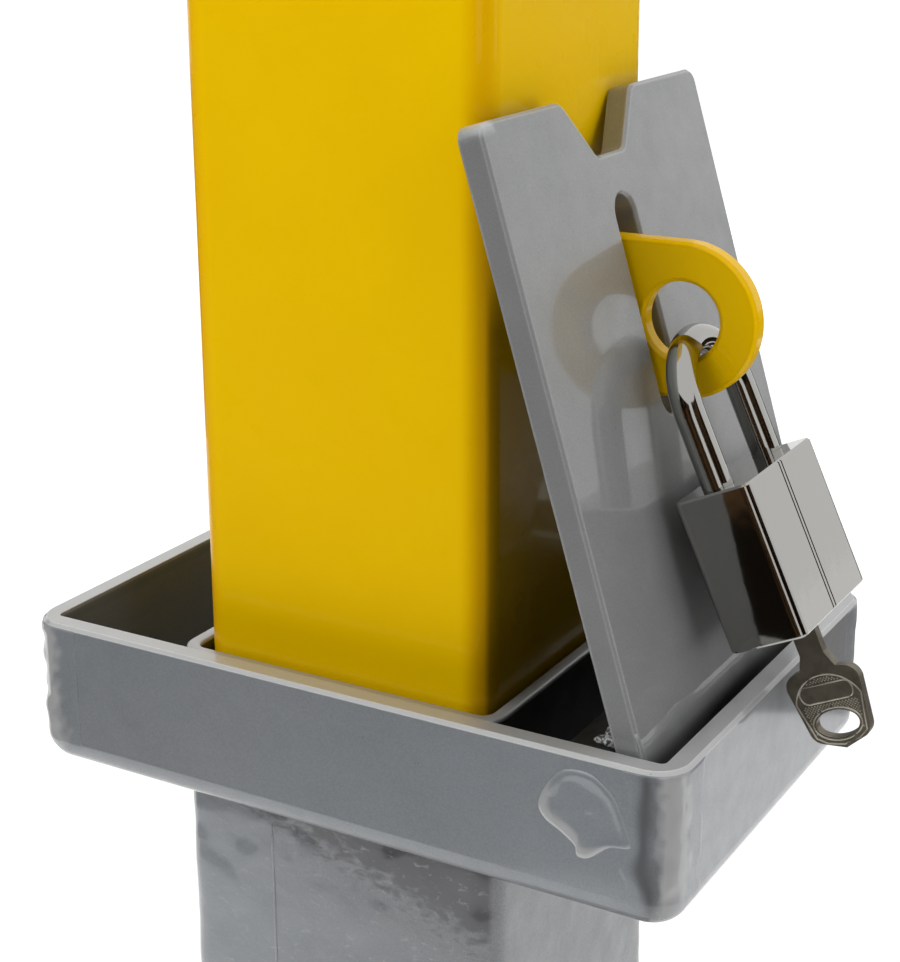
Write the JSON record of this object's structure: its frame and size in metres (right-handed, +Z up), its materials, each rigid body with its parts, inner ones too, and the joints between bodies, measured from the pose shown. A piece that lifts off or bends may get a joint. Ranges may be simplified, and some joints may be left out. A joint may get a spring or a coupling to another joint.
{
  "type": "removable bollard",
  "caption": "Square steel post standing in a ground socket; a slotted hinged lid leans on the post, and a padlock through the post's eye holds both in place.",
  "frame": {"origin": "middle of the base plate's underside, on the post's axis", "axes": "+Z up along the post, +X from the post towards the lid's hinge, Y along the hinge pin"},
  "size_m": [0.1968, 0.12, 0.9],
  "materials": {
    "yellow_paint": "glossy yellow paint over steel, with a light orange peel",
    "grey_paint": "satin silver-grey paint over welded steel",
    "chrome": "bright chrome plate",
    "key_nickel": "stamped nickel-plated steel",
    "brass": "machined brass",
    "steel": "plain machined steel"
  },
  "bodies": {
    "ground_socket": {"base_plate": "grey_paint", "socket_tube": "grey_paint", "tray": "grey_paint", "hinge_pin": "steel"},
    "post": {"post_tube": "yellow_paint", "post_cap": "yellow_paint", "lock_eye": "yellow_paint"},
    "lid": {"lid_plate": "grey_paint", "hinge_barrel": "grey_paint"},
    "shackle": {"shackle": "chrome"},
    "lock_case": {"lock_body": "chrome", "cylinder_cover": "chrome", "catch_pin": "steel", "latch_spring": "steel", "shackle_spring": "steel"},
    "latch": {"latch_bolt": "steel"},
    "lock_plug": {"cylinder_plug": "brass", "key": "key_nickel", "wafers": "brass", "wafer_springs": "steel"}
  },
  "joints": [
    {"name": "post_lift", "type": "slide", "parent": "ground_socket", "child": "post", "axis": [0, 0, 1], "range_m": [0, 0.0065]},
    {"name": "lid_swing", "type": "hinge", "parent": "ground_socket", "child": "lid", "pos_m": [0.075, 0, 0.286], "axis": [0, 1, 0], "range_deg": [0, 2.8]},
    {"name": "padlock_swing", "type": "hinge", "parent": "post", "child": "shackle", "pos_m": [0.069, 0, 0.38116], "axis": [0, -1, 0], "range_deg": [0, 145]},
    {"name": "case_drop", "type": "slide", "parent": "shackle", "child": "lock_case", "axis": [0.4184, 0, -0.9082], "range_m": [0, 0.0105], "deforming": ["shackle_spring"]},
    {"name": "key_turn", "type": "hinge", "parent": "lock_case", "child": "lock_plug", "pos_m": [0.069, 0, 0.38116], "axis": [-0.4184, 0, 0.9082], "range_deg": [0, 90]},
    {"name": "latch_slide", "type": "slide", "parent": "lock_case", "child": "latch", "axis": [0, 1, 0], "range_m": [0, 0.00693], "deforming": ["latch_spring"]}
  ],
  "couplings": [
    {"joint": "key_turn", "follows": "case_drop", "rad_per_m": 149.6},
    {"joint": "latch_slide", "follows": "case_drop", "ratio": 0.65997}
  ]
}
